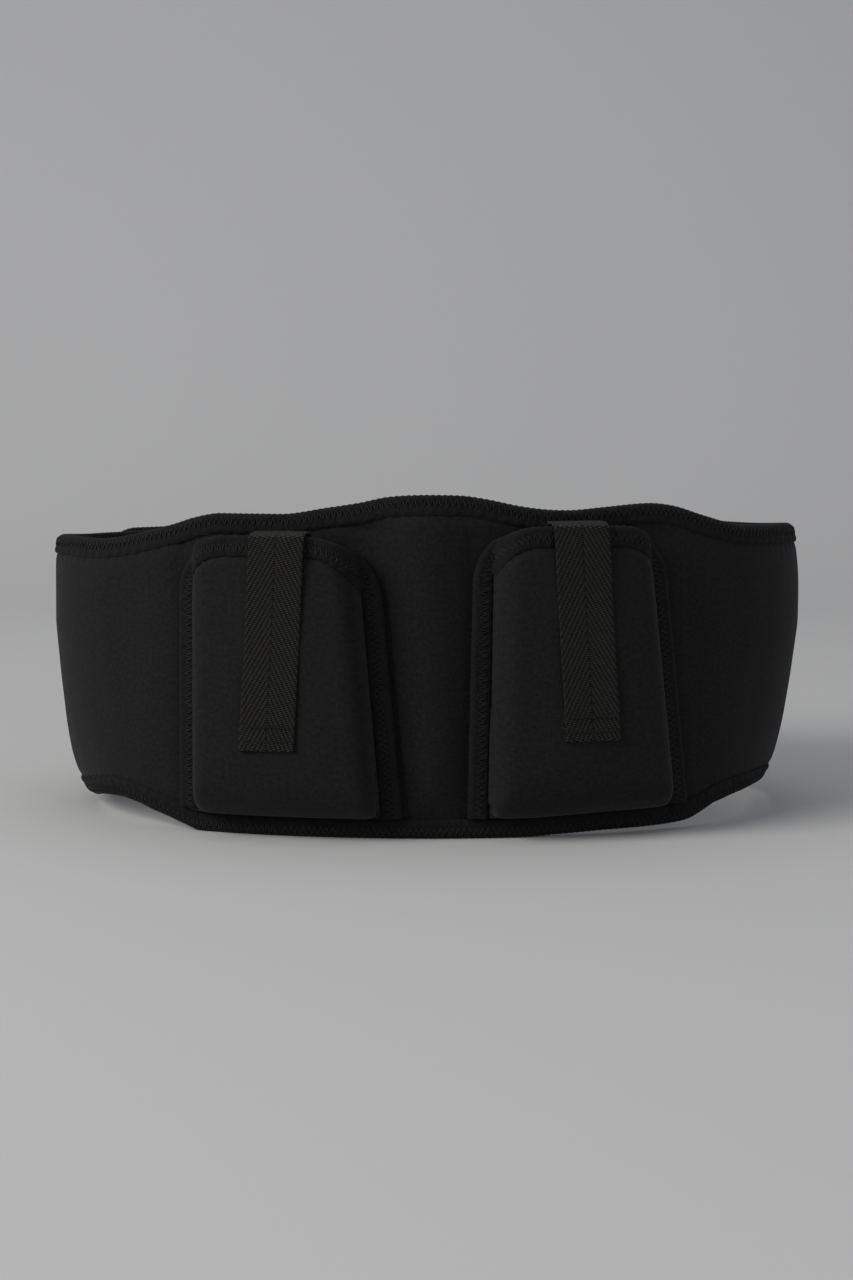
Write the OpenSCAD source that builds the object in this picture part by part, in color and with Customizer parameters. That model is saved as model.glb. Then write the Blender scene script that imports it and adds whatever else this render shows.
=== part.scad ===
// Dive weight belt: a wide neoprene waist belt closed into a loop, with two front
// pockets that each hold a removable weight pack with a webbing pull tab.
// X runs across the front, -Y is the pocket side, +Z is up, and the front lower edge
// rests on Z = 0.

/* [Loop] */
// Half the width of the closed loop, to the middle of the neoprene
loop_half_w = 181; // [165:1:200]
// Half the depth of the closed loop, to the middle of the neoprene
loop_half_d = 108; // [95:1:120]
// Thickness of the neoprene
neoprene_t = 3.5; // [2.5:0.5:4]
// How far the lower edge curls in at the left turn
lean_left = 16; // [4:1:26]
// How far the lower edge curls in at the right turn
lean_right = 23; // [4:1:26]
// How far the strip between the pockets swells forwards
centre_swell = 4; // [0:0.5:6]

/* [Wings] */
// Distance of the two flex lines from the middle of the belt
flex_x = 135; // [125:1:150]
// Angle round the loop at which each wing ends, from its own turn
wing_end_angle = 154; // [120:1:155]
// Distance between the middles of the two wings where they overlap
wing_layer_gap = 7; // [7:0.5:9]
// Radius of the corners at the end of a wing
wing_corner_r = 20; // [12:1:30]
// Thickness of a hook or loop patch
patch_t = 1; // [0.6:0.1:1]

/* [Binding] */
// Width of the edge binding on each face
binding_w = 8; // [6:0.5:10]
// Thickness of the binding tape
binding_t = 1.1; // [0.6:0.1:1.1]

/* [Pockets] */
// Thickness of the pocket neoprene
pocket_t = 2.5; // [2:0.25:3]
// Distance from the belt's middle to the pocket's middle at its fullest
pocket_bulge = 20; // [20:0.5:24]
// Height of the top of the left pocket's neoprene
left_pocket_top = 137; // [130:1:140]
// Height of the top of the right pocket's neoprene
right_pocket_top = 141.5; // [130:0.5:143]

/* [Weight packs] */
// Thickness of a weight pack
pack_t = 13.5; // [10:0.5:13.5]
// Height of a weight pack
pack_h = 101; // [80:1:101]
// Height of the underside of a weight pack
pack_z = 23; // [23:1:26]
// Thickness of the pouch fabric
pouch_t = 1; // [0.8:0.1:1.5]

/* [Pull tabs] */
// Width of the webbing
tape_w = 25; // [20:1:30]
// Thickness of the webbing
tape_t = 1.1; // [0.8:0.1:1.2]
// Length of a tab from its fold to its hem
tab_len = 96.5; // [60:0.5:100]
// Length of the turned-back hem
hem_len = 13; // [8:1:20]

/* [Hidden] */

// Places the middle of the whole belt's box over the origin
shift = [0.35, 7.58];
// Gap between a binding and the edge that it folds over
fold_gap = 0.1;
// Distance from the flex line to a cut edge of neoprene, and to a cut end of binding
panel_gap = 2;
binding_gap = 3.7;
// Gap between a patch and the wing that it is sewn to
patch_gap = 0.3;
flex_angle = -acos(flex_x / loop_half_w);

neoprene_colour = [0.10, 0.10, 0.11];
binding_colour = [0.07, 0.07, 0.08];
webbing_colour = [0.14, 0.14, 0.12];
pouch_colour = [0.20, 0.22, 0.25];
lead_colour = [0.45, 0.46, 0.48];
patch_colour = [0.05, 0.05, 0.06];

// Edge heights across the front, as [x, z]
front_top = [[-135, 135.3], [-116, 140.3], [-105, 143.9], [-93, 145.9], [-66, 145.9], [-44, 149],
    [-30, 151.2], [-17, 153.9], [0, 154.8], [16, 154.4], [27, 152.8], [40, 150], [52, 148.2],
    [64, 147.6], [80, 148.8], [101, 150.3], [113, 148.8], [125, 144.9], [135, 141.8]];
front_bottom = [[-135, 11], [-128, 8.9], [-119, 6.3], [-111, 3.4], [-104, 1.2], [40, 1.2],
    [60, 2], [80, 2.9], [100, 3.3], [115, 4.1], [122, 5.3], [128, 7.7], [135, 10.8]];

// Edge heights along each wing, as [angle from its own turn, z]
left_top = [[-41.8, 135.3], [-36, 133], [-30, 132.2], [-20, 132.4], [0, 131], [20, 129.4],
    [39, 129.9], [64, 135.8], [76, 139.6], [90, 140.2], [112, 138], [143, 137], [154, 137]];
left_bottom = [[-41.8, 11], [-37, 12.3], [-31, 11.5], [-20, 8.2], [-12, 5.6], [0, 4.2], [12, 4.2],
    [45, 8], [90, 12], [154, 14]];
right_top = [[-41.8, 141.8], [-37, 139.4], [-32, 138.6], [-20, 138.1], [0, 136.6], [25, 134.6],
    [90, 136.6], [112, 134], [135, 131], [154, 130.8]];
right_bottom = [[-41.8, 10.8], [-36, 12.6], [-30, 13.1], [-24, 12.9], [-12, 11], [0, 10], [15, 10],
    [90, 13], [154, 13]];

// Pockets, as [left edge at the foot, left edge at the top, right edge at the top,
// right edge at the foot, height of the top, left corner radius, right corner radius]
left_pocket = [-110.5, -109.3, -23, -11, left_pocket_top, 26, 28];
right_pocket = [19, 22, 104, 118.5, right_pocket_top, 25, 24];
foot_lift = 9;
pocket_seam = 8.2;
pocket_rise = 8;
foot_rise = 12;
mouth_inset = 2.9;
seam_n = neoprene_t / 2 + 0.4 + binding_t + fold_gap + pocket_t / 2;

// Webbing, as [x of the middle of the fold, sideways lean of the tab in degrees]
left_tape = [-61, 3.2];
right_tape = [63, -3.7];
pouch_n = neoprene_t / 2 + fold_gap + binding_t + 0.4;
fold_n = pocket_bulge + pocket_t / 2 + fold_gap + binding_t + tape_t * 1.5 + 0.4;
fold_h = fold_gap + binding_t + 0.5 + tape_t / 2;

// ---- Functions ----

function clamp01(q) = max(0, min(1, q));
function ease(q) = let (c = clamp01(q)) c * c * (3 - 2 * c);
function mix(p, q, f) = p + (q - p) * f;

// Slope of a curve through the points p, at point k: level at a crest or a trough
function slope(p, k) = let (i = max(0, k - 1), j = min(len(p) - 1, k + 1))
    (p[k].y - p[i].y) * (p[j].y - p[k].y) <= 0 && i < k && k < j ? 0
    : (p[j].y - p[i].y) / (p[j].x - p[i].x);

// Smooth curve through the points p, at x
function curve(p, x) = x <= p[0].x ? p[0].y : x >= p[len(p) - 1].x ? p[len(p) - 1].y :
    let (k = max([for (i = [0:len(p) - 2]) if (p[i].x <= x) i]),
        w = p[k + 1].x - p[k].x, f = (x - p[k].x) / w,
        s0 = slope(p, k) * w, s1 = slope(p, k + 1) * w)
    (2 * f * f * f - 3 * f * f + 1) * p[k].y + (f * f * f - 2 * f * f + f) * s0
    + (3 * f * f - 2 * f * f * f) * p[k + 1].y + (f * f * f - f * f) * s1;

// Point of the loop in plan, off outside its middle line
function plan(t, off) = let (n = [cos(t) / loop_half_w, sin(t) / loop_half_d])
    [loop_half_w * cos(t), loop_half_d * sin(t)] + n * off / norm(n);
// Millimetres round the loop for each degree
function speed(t) = norm([loop_half_w * sin(t), loop_half_d * cos(t)]) * PI / 180;
function angle_at(x) = -acos(x / loop_half_w);

// How much of the lean a place has: none at the front, all at the turns
function lean_share(t) = let (s = t < -90 ? -180 - t : min(t, 180 - t))
    ease((s + 50) / 38) * (1 - 0.85 * ease((s - 15) / 50));
// The lower part leans in and curls in at its edge; the upper edge curls in a little
function lean(t, z, amount) = -lean_share(t) * (3 * pow(max(0, z - 112) / 24, 2)
    + amount * (0.4 * max(0, 90 - z) / 85 + 0.6 * exp((5 - z) / 13)));

// Swell of the strip between the pockets, at x across the front and height z
function swell(x, z) = let (middle = mix(4, -2.5, z / 145), half = mix(13.5, 22.5, z / 145),
    q = max(0, 1 - pow((x - middle) / half, 2)))
    centre_swell * q * q * ease((z - 8) / 16) * (1 - 0.5 * ease((z - 138) / 14));

// Point of the front sheet at angle t and height z, n in front of its middle
function front_point(t, z, n) = let (amount = t < -90 ? lean_left : lean_right,
    off = n + lean(t, z, amount) + swell(loop_half_w * cos(t), z), p = plan(t, off))
    [p.x + shift.x, p.y + shift.y, z];

// A wing is [top edge, bottom edge, lean at its own turn, lean at the other turn, layer at
// its end]; it is drawn on the right
function wing_layer(wing, t) = wing[4] * clamp01((t - 180 + wing_end_angle)
    / (2 * wing_end_angle - 180));
function wing_point(wing, t, z, n) = let (amount = mix(wing[2], wing[3], ease((t - 20) / 140)),
    p = plan(t, n + lean(t, z, amount) + wing_layer(wing, t))) [p.x, p.y, z];
function end_distance(t) = (wing_end_angle - t) * speed(wing_end_angle);
function corner_drop(d, r) = d >= r ? 0 : r - sqrt(max(0, r * r - (r - d) * (r - d)));
function wing_top(wing, t) = curve(wing[0], t) - corner_drop(end_distance(t), wing_corner_r);
function wing_foot(wing, t) = curve(wing[1], t) + corner_drop(end_distance(t), wing_corner_r);

left_wing = [left_top, left_bottom, lean_left, lean_right, -wing_layer_gap];
right_wing = [right_top, right_bottom, lean_right, lean_left, wing_layer_gap];

// Pocket outline and bulge
function pocket_left(p, z) = mix(p[0], p[1], clamp01(z / p[4]));
function pocket_right(p, z) = mix(p[3], p[2], clamp01(z / p[4]));
function pocket_foot(x) = curve(front_bottom, x) + foot_lift;
function pocket_side(p, x, z) = min(x - pocket_left(p, z), pocket_right(p, z) - x);
function shoulder(q) = ease(sqrt(clamp01(q)));
function pocket_mid(p, x, z) = let (
    side = 1 - clamp01((pocket_side(p, x, z) - pocket_seam) / pocket_rise),
    foot = 1 - clamp01((z - pocket_foot(x)) / foot_rise))
    mix(seam_n, pocket_bulge, shoulder(1 - norm([side, foot])));
function pocket_point(p, x, z, n) = front_point(angle_at(x), z, n + pocket_mid(p, x, z));
function pocket_top(p, x) = p[4] - corner_drop(x - pocket_left(p, p[4]), p[5])
    - corner_drop(pocket_right(p, p[4]) - x, p[6]);
// Place on the pocket's rounded corners, d along the top from its left end and low below it
function pocket_corner(p, d, low) = let (z = p[4] - low)
    [mix(pocket_left(p, z), pocket_right(p, z), d / (p[2] - p[1])), z];

// ---- Solids ----

// Closed sheet over a grid of u and v, between two faces
module sheet(us, vs, face, back) {
    nu = len(us);
    nv = len(vs);
    m = nu * nv;
    points = concat([for (u = us, v = vs) face(u, v)], [for (u = us, v = vs) back(u, v)]);
    function at(i, j) = i * nv + j;
    grid = [for (i = [0:nu - 2], j = [0:nv - 2])
        each [[at(i, j), at(i, j + 1), at(i + 1, j + 1)], [at(i, j), at(i + 1, j + 1), at(i + 1, j)]]];
    far = [for (f = grid) [f[2] + m, f[1] + m, f[0] + m]];
    rim = concat([for (i = [0:nu - 1]) at(i, 0)], [for (j = [1:nv - 1]) at(nu - 1, j)],
        [for (i = [nu - 2:-1:0]) at(i, nv - 1)], [for (j = [nv - 2:-1:1]) at(0, j)]);
    edge = [for (k = [0:len(rim) - 1]) let (p = rim[k], q = rim[(k + 1) % len(rim)])
        each [[p, q, q + m], [p, q + m, p + m]]];
    polyhedron(points, concat(grid, far, edge), convexity = 6);
}

// Binding folded over an edge: path is a list of [u, v], place(u, v, n) is the sheet,
// scale_u(u) is the size of a step in u, half is half the sheet's thickness
module fold(path, half, place, scale_u) {
    inner = half + fold_gap;
    outer = inner + binding_t;
    profile = [[-outer, -binding_w], [-outer, fold_gap + binding_t], [outer, fold_gap + binding_t],
        [outer, -binding_w], [inner, -binding_w], [inner, fold_gap], [-inner, fold_gap],
        [-inner, -binding_w]];
    last = len(path) - 1;
    function out(k) = let (a = path[max(0, k - 1)], b = path[min(last, k + 1)],
        d = [(b.x - a.x) * scale_u(path[k].x), b.y - a.y]) [-d.y, d.x] / norm(d);
    points = [for (k = [0:last]) let (e = out(k), s = scale_u(path[k].x)) for (q = profile)
        place(path[k].x + q.y * e.x / s, path[k].y + q.y * e.y, q.x)];
    sides = [for (k = [0:last - 1], i = [0:7]) let (a = k * 8 + i, b = k * 8 + (i + 1) % 8)
        each [[a, b, b + 8], [a, b + 8, a + 8]]];
    quads = [[0, 7, 6, 1], [1, 6, 5, 2], [2, 5, 4, 3]];
    start = [for (q = quads) each [[q[0], q[1], q[2]], [q[0], q[2], q[3]]]];
    finish = [for (f = start) [f[2] + last * 8, f[1] + last * 8, f[0] + last * 8]];
    polyhedron(points, concat(sides, start, finish), convexity = 8);
}

function steps(a, b, count) = [for (i = [0:count]) mix(a, b, i / count)];

// Angles of the front sheet, leaving a gap before each flex line
function front_angles(gap, count) = let (g = gap / speed(flex_angle))
    steps(-180 - flex_angle + g, flex_angle - g, count);

module main_panel() {
    color(neoprene_colour) sheet(front_angles(panel_gap, 44), steps(0, 1, 7),
        function (t, v) front_point(t, mix(curve(front_bottom, loop_half_w * cos(t)),
            curve(front_top, loop_half_w * cos(t)), v), neoprene_t / 2),
        function (t, v) front_point(t, mix(curve(front_bottom, loop_half_w * cos(t)),
            curve(front_top, loop_half_w * cos(t)), v), -neoprene_t / 2));
}

module top_binding() {
    color(binding_colour) fold([for (t = front_angles(binding_gap, 44))
        [t, curve(front_top, loop_half_w * cos(t))]], neoprene_t / 2,
        function (t, z, n) front_point(t, z, n), function (t) speed(t));
}

module bottom_binding() {
    angles = front_angles(binding_gap, 44);
    color(binding_colour) fold([for (i = [len(angles) - 1:-1:0])
        [angles[i], curve(front_bottom, loop_half_w * cos(angles[i]))]], neoprene_t / 2,
        function (t, z, n) front_point(t, z, n), function (t) speed(t));
}

module pocket_panel(p) {
    width = p[2] - p[1];
    across = [for (d = [0, 4, 8, 8.4, 8.9, 9.6, 10.6, 12, 13.8, 16.4]) d / width];
    us = concat(across, steps(across[9] + 0.08, 0.92 - across[9], 4),
        [for (i = [9:-1:0]) 1 - across[i]]);
    vs = concat([0, 0.004, 0.011, 0.022, 0.04, 0.065, 0.1], steps(0.22, 1, 6));
    function spot(u, v) = let (z = mix(pocket_foot(mix(p[0], p[3], u)),
        pocket_top(p, mix(p[1], p[2], u)), v))
        [mix(pocket_left(p, z), pocket_right(p, z), u), z];
    color(neoprene_colour) sheet(us, vs,
        function (u, v) let (s = spot(u, v)) pocket_point(p, s.x, s.y, pocket_t / 2),
        function (u, v) let (s = spot(u, v)) pocket_point(p, s.x, s.y, -pocket_t / 2));
}

module pocket_binding(p) {
    left_z = p[4] - p[5];
    right_z = p[4] - p[6];
    path = concat([for (z = steps(pocket_foot(p[0]), left_z - 2, 12)) [pocket_left(p, z), z]],
        [for (a = steps(180, 90, 10)) pocket_corner(p, p[5] * (1 + cos(a)), p[5] * (1 - sin(a)))],
        [for (x = steps(p[1] + p[5] + 4, p[2] - p[6] - 4, 6)) [x, p[4]]],
        [for (a = steps(90, 0, 10)) pocket_corner(p, p[2] - p[1] - p[6] * (1 - cos(a)),
            p[6] * (1 - sin(a)))],
        [for (z = steps(right_z - 2, pocket_foot(p[3]), 12)) [pocket_right(p, z), z]]);
    color(binding_colour) fold(path, pocket_t / 2,
        function (x, z, n) pocket_point(p, x, z, n), function (x) 1);
}

// Shares of a wing's height, closer together where its foot curls in
rows = [0, 0.025, 0.055, 0.09, 0.13, 0.18, 0.25, 0.36, 0.55, 0.78, 1];

module wing_panel(wing) {
    start = flex_angle + panel_gap / speed(flex_angle);
    corner = wing_corner_r / speed(wing_end_angle);
    us = concat(steps(start, wing_end_angle - corner - 2, 56),
        [for (a = steps(90, 0, 7)) wing_end_angle - corner * (1 - cos(a))]);
    color(neoprene_colour) sheet(us, rows,
        function (t, v) wing_point(wing, t, mix(wing_foot(wing, t), wing_top(wing, t), v),
            neoprene_t / 2),
        function (t, v) wing_point(wing, t, mix(wing_foot(wing, t), wing_top(wing, t), v),
            -neoprene_t / 2));
}

module wing_binding(wing) {
    start = flex_angle + binding_gap / speed(flex_angle);
    r = wing_corner_r;
    corner = r / speed(wing_end_angle);
    run = steps(start, wing_end_angle - corner - 2, 56);
    top = curve(wing[0], wing_end_angle);
    foot = curve(wing[1], wing_end_angle);
    path = concat([for (t = run) [t, wing_top(wing, t)]],
        [for (a = steps(90, 0, 7)) [wing_end_angle - corner * (1 - cos(a)), top - r + r * sin(a)]],
        [for (v = steps(0.1, 0.9, 8)) [wing_end_angle, mix(top - r, foot + r, v)]],
        [for (a = steps(0, 90, 7)) [wing_end_angle - corner * (1 - cos(a)), foot + r - r * sin(a)]],
        [for (i = [len(run) - 1:-1:0]) [run[i], wing_foot(wing, run[i])]]);
    color(binding_colour) fold(path, neoprene_t / 2,
        function (t, z, n) wing_point(wing, t, z, n), function (t) speed(t));
}

// Patch on a wing's face, from one angle to another; side is 1 outside and -1 inside
module patch(wing, from_angle, to_angle, side) {
    inner = side * (neoprene_t / 2 + patch_gap);
    outer = inner + side * patch_t;
    lift = 14;
    color(patch_colour) sheet(steps(from_angle, to_angle, round((to_angle - from_angle) / 3)),
        steps(0, 1, 6),
        function (t, v) wing_point(wing, t, mix(wing_foot(wing, t) + lift,
            wing_top(wing, t) - lift, v), max(inner, outer)),
        function (t, v) wing_point(wing, t, mix(wing_foot(wing, t) + lift,
            wing_top(wing, t) - lift, v), min(inner, outer)));
}

// Puts a wing in its place
module on_right() {
    translate([shift.x, shift.y, 0]) children();
}

module on_left() {
    on_right() mirror([1, 0, 0]) children();
}

// Distance of the pack's front from the belt's middle, as the rounded mouth allows
function mouth_n(p, side) = mix(seam_n, pocket_bulge, shoulder((side - mouth_inset - pocket_seam)
    / pocket_rise)) - pocket_t / 2 - fold_gap - binding_t - 0.55;
function pack_n(p, x) = min(pouch_n + pack_t, mouth_n(p, pocket_side(p, x, p[4])));
function pack_xs(p, inset) = let (e = mouth_inset + pocket_seam + 0.25 * pocket_rise + inset)
    concat([for (d = [0, 1.3, 2.6, 4]) p[1] + e + d],
    steps(p[1] + e + 9, p[2] - e - 9, 6), [for (d = [4, 2.6, 1.3, 0]) p[2] - e - d]);

// Plan outline of the pack between n = back and its front less a skin
module pack_outline(p, inset, back, skin) {
    xs = pack_xs(p, inset);
    polygon(concat([for (x = xs) plan(angle_at(x), back)],
        [for (i = [len(xs) - 1:-1:0]) plan(angle_at(xs[i]), pack_n(p, xs[i]) - skin)]));
}

module pouch_back(p) {
    xs = pack_xs(p, 0);
    color(pouch_colour) translate([shift.x, shift.y, pack_z]) linear_extrude(pack_h)
        polygon(concat([for (x = xs) plan(angle_at(x), pouch_n)],
            [for (i = [len(xs) - 1:-1:0]) plan(angle_at(xs[i]), pouch_n + pouch_t)]));
}

module pouch_front(p) {
    back = pouch_n + pouch_t + 0.05;
    color(pouch_colour) translate([shift.x, shift.y, pack_z]) difference() {
        linear_extrude(pack_h) pack_outline(p, 0, back, 0);
        translate([0, 0, pouch_t]) linear_extrude(pack_h - 2 * pouch_t)
            pack_outline(p, pouch_t, back - 1, pouch_t);
    }
}

module lead_weight(p) {
    skin = pouch_t + 0.1;
    color(lead_colour) translate([shift.x, shift.y, pack_z + skin]) linear_extrude(pack_h - 2 * skin)
        pack_outline(p, skin, pouch_n + skin + 0.05, skin);
}

// Puts a shape drawn with X along the belt and -Y outwards at the tape's fold
module at_fold(tape, p) {
    t = angle_at(tape[0]);
    n = [cos(t) / loop_half_w, sin(t) / loop_half_d];
    c = plan(t, 0);
    translate([c.x + shift.x, c.y + shift.y, p[4] + fold_h]) rotate([0, 0, atan2(n.y, n.x) + 90])
        children();
}

module pull_anchor(tape, p) {
    stem_n = pouch_n + pack_t - 4;
    reach = fold_n - tape_t / 2 - 1.2;
    drop = p[4] + fold_h - pack_z - pack_h - 0.1;
    color(webbing_colour) at_fold(tape, p) {
        translate([-tape_w / 2, -stem_n - tape_t / 2, -drop]) cube([tape_w, tape_t,
            drop + tape_t / 2]);
        translate([-tape_w / 2, -reach, -tape_t / 2]) cube([tape_w, reach - stem_n, tape_t]);
    }
}

module pull_tab(tape, p) {
    color(webbing_colour) at_fold(tape, p) translate([0, -fold_n, 0]) rotate([0, -tape[1], 0]) {
        translate([-tape_w / 2, 0, 0]) rotate([0, 90, 0]) cylinder(h = tape_w, d = tape_t,
            $fn = 24);
        translate([-tape_w / 2, -tape_t / 2, -tab_len]) cube([tape_w, tape_t, tab_len]);
        translate([-tape_w / 2, tape_t / 2 - 0.05, -tab_len]) cube([tape_w, tape_t + 0.05,
            hem_len]);
    }
}

main_panel();
top_binding();
bottom_binding();
pocket_panel(left_pocket);  // left_pocket_panel
pocket_binding(left_pocket);  // left_pocket_binding
pocket_panel(right_pocket);  // right_pocket_panel
pocket_binding(right_pocket);  // right_pocket_binding
on_left() wing_panel(left_wing);  // left_wing_panel
on_left() wing_binding(left_wing);  // left_wing_binding
on_left() patch(left_wing, 96, 148, 1);  // hook_patch
on_right() wing_panel(right_wing);  // right_wing_panel
on_right() wing_binding(right_wing);  // right_wing_binding
on_right() patch(right_wing, 30, 148, -1);  // loop_patch
pouch_back(left_pocket);  // left_pouch_back
pouch_front(left_pocket);  // left_pouch_front
lead_weight(left_pocket);  // left_lead_weight
pull_anchor(left_tape, left_pocket);  // left_pull_anchor
pull_tab(left_tape, left_pocket);  // left_pull_tab
pouch_back(right_pocket);  // right_pouch_back
pouch_front(right_pocket);  // right_pouch_front
lead_weight(right_pocket);  // right_lead_weight
pull_anchor(right_tape, right_pocket);  // right_pull_anchor
pull_tab(right_tape, right_pocket);  // right_pull_tab
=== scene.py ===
"""Looks of a dive weight belt: a neoprene waist belt closed into a loop, two front pockets,
and in each pocket a removable weight pack with a herringbone pull tab.

Shapes are worked out in millimetres with the CAD part's rules, apart from softer shoulders on
the pockets, and made into meshes in metres. Right is +X, the pockets are on the -Y side, and
+Z is up.
"""

import math
from collections import namedtuple

import bpy
import numpy as np
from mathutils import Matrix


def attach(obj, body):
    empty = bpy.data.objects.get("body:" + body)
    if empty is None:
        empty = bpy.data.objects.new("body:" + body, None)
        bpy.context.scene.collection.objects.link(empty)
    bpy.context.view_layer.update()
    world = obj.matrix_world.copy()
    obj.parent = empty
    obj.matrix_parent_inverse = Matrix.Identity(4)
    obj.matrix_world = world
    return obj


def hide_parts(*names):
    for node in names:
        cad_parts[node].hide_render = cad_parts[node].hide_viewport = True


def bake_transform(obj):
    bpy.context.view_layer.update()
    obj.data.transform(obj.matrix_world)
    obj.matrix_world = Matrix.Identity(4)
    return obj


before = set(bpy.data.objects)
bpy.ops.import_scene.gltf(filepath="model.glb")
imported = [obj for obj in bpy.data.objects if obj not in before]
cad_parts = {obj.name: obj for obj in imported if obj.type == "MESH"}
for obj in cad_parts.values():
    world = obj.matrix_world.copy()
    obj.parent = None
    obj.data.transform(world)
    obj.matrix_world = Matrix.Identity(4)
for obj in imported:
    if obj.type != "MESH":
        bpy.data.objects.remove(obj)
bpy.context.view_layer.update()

MM = 0.001

# ---- Driving sizes, in millimetres and degrees, as in the part ----

LOOP_HALF_W = 181.0
LOOP_HALF_D = 108.0
NEOPRENE_T = 3.5
LEAN_LEFT = 16.0
LEAN_RIGHT = 23.0
CENTRE_SWELL = 4.0
FLEX_X = 135.0
WING_END = 154.0
WING_LAYER_GAP = 7.0
WING_CORNER_R = 20.0
BINDING_W = 8.0
BINDING_T = 1.1
POCKET_T = 2.5
POCKET_BULGE = 20.0
FOOT_LIFT = 9.0
POCKET_SEAM = 8.2
POCKET_RISE = 8.0
FOOT_RISE = 12.0
MOUTH_INSET = 2.9
PACK_T = 13.5
PACK_H = 101.0
PACK_Z = 23.0
TAPE_W = 25.0
TAPE_T = 1.1
TAB_LEN = 96.5
HEM_LEN = 13.0
FOLD_GAP = 0.1
SHIFT = (0.35, 7.58)

SEAM_N = NEOPRENE_T / 2 + 0.4 + BINDING_T + FOLD_GAP + POCKET_T / 2
POUCH_N = NEOPRENE_T / 2 + FOLD_GAP + BINDING_T + 0.4
FOLD_N = POCKET_BULGE + POCKET_T / 2 + FOLD_GAP + BINDING_T + TAPE_T * 1.5 + 0.4
FOLD_H = FOLD_GAP + BINDING_T + 0.5 + TAPE_T / 2
FLEX_ANGLE = -math.degrees(math.acos(FLEX_X / LOOP_HALF_W))

# Where the left and the right half of the sheet meet, behind the left pocket
SPLIT_X = -66.0
# Length of one zigzag stitch, and the radius of the thread there, on the tapes and in seams
STITCH = 2.7
THREAD_R = 0.30
TAPE_THREAD_R = 0.25
SEAM_THREAD_R = 0.22
# Width of a pocket's shoulder at its sides and foot
SIDE_SHOULDER = POCKET_RISE * 1.4
FOOT_SHOULDER = FOOT_RISE * 1.9
# Distance between the points along a tape
TAPE_STEP = 0.45
# Corner radius of a pack and of the seam round it
PACK_CORNER_R = 8.0
PACK_SEAM_R = 6.4
# Angle where a patch ends, its distance from the wing's edges, and its stitches' from its own
PATCH_END = 148
PATCH_LIFT = 14.0
PATCH_SEAM = 2.2
# Distance in front of the loop's middle in millimetres, height in metres, lens and tilt down
CAMERA_DISTANCE = 1111.0
CAMERA_HEIGHT = 0.196
CAMERA_LENS = 63.06
CAMERA_TILT = 6

FRONT_TOP = [(-135, 135.3), (-116, 140.3), (-105, 143.9), (-93, 145.9), (-66, 145.9), (-44, 149),
             (-30, 151.2), (-17, 153.9), (0, 154.8), (16, 154.4), (27, 152.8), (40, 150),
             (52, 148.2), (64, 147.6), (80, 148.8), (101, 150.3), (113, 148.8), (125, 144.9),
             (135, 141.8)]
FRONT_BOTTOM = [(-135, 11), (-128, 8.9), (-119, 6.3), (-111, 3.4), (-104, 1.2), (40, 1.2),
                (60, 2), (80, 2.9), (100, 3.3), (115, 4.1), (122, 5.3), (128, 7.7), (135, 10.8)]


# One half of the belt: side is 1 on the right, -1 on the left; its wing rides on the body
Half = namedtuple("Half", "name body side lean_here lean_there layer top bottom")
LEFT = Half(
    "left", "left_wing", -1, LEAN_LEFT, LEAN_RIGHT, -WING_LAYER_GAP,
    [(-41.8, 135.3), (-36, 133), (-30, 132.2), (-20, 132.4), (0, 131), (20, 129.4), (39, 129.9),
     (64, 135.8), (76, 139.6), (90, 140.2), (112, 138), (143, 137), (154, 137)],
    [(-41.8, 11), (-37, 12.3), (-31, 11.5), (-20, 8.2), (-12, 5.6), (0, 4.2), (12, 4.2), (45, 8),
     (90, 12), (154, 14)])
RIGHT = Half(
    "right", "right_wing", 1, LEAN_RIGHT, LEAN_LEFT, WING_LAYER_GAP,
    [(-41.8, 141.8), (-37, 139.4), (-32, 138.6), (-20, 138.1), (0, 136.6), (25, 134.6),
     (90, 136.6), (112, 134), (135, 131), (154, 130.8)],
    [(-41.8, 10.8), (-36, 12.6), (-30, 13.1), (-24, 12.9), (-12, 11), (0, 10), (15, 10), (90, 13),
     (154, 13)])

# One pocket: its outline across the front, and the place and lean in degrees of the pack's tape
Pocket = namedtuple("Pocket", "name left_foot left_top right_top right_foot top left_r right_r"
                    " tape_x tape_lean")
POCKETS = [Pocket("left", -110.5, -109.3, -23, -11, 137, 26, 28, -61, 3.2),
           Pocket("right", 19, 22, 104, 118.5, 141.5, 25, 24, 63, -3.7)]


# ---- Rules that the shapes follow ----

def clamp01(q):
    return np.clip(q, 0, 1)


def ease(q):
    c = clamp01(q)
    return c * c * (3 - 2 * c)


def mix(p, q, f):
    return p + (q - p) * f


def curve(points, x):
    """Smooth curve through the points, level at its crests and troughs."""
    px, pz = np.array(points, float).T
    last = len(px) - 1
    before = np.maximum(np.arange(last + 1) - 1, 0)
    after = np.minimum(np.arange(last + 1) + 1, last)
    slope = (pz[after] - pz[before]) / (px[after] - px[before])
    turning = (pz - pz[before]) * (pz[after] - pz) <= 0
    turning[0] = turning[-1] = False
    slope[turning] = 0
    x = np.clip(np.asarray(x, float), px[0], px[-1])
    k = np.clip(np.searchsorted(px, x, side="right") - 1, 0, last - 1)
    w = px[k + 1] - px[k]
    f = (x - px[k]) / w
    return ((2 * f**3 - 3 * f**2 + 1) * pz[k] + (f**3 - 2 * f**2 + f) * slope[k] * w
            + (3 * f**2 - 2 * f**3) * pz[k + 1] + (f**3 - f**2) * slope[k + 1] * w)


def corner_drop(d, r):
    """How far a rounded corner of radius r lies below its edge, d from the side."""
    return np.where(d >= r, 0, r - np.sqrt(np.maximum(0, r * r - (r - np.maximum(d, 0)) ** 2)))


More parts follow.
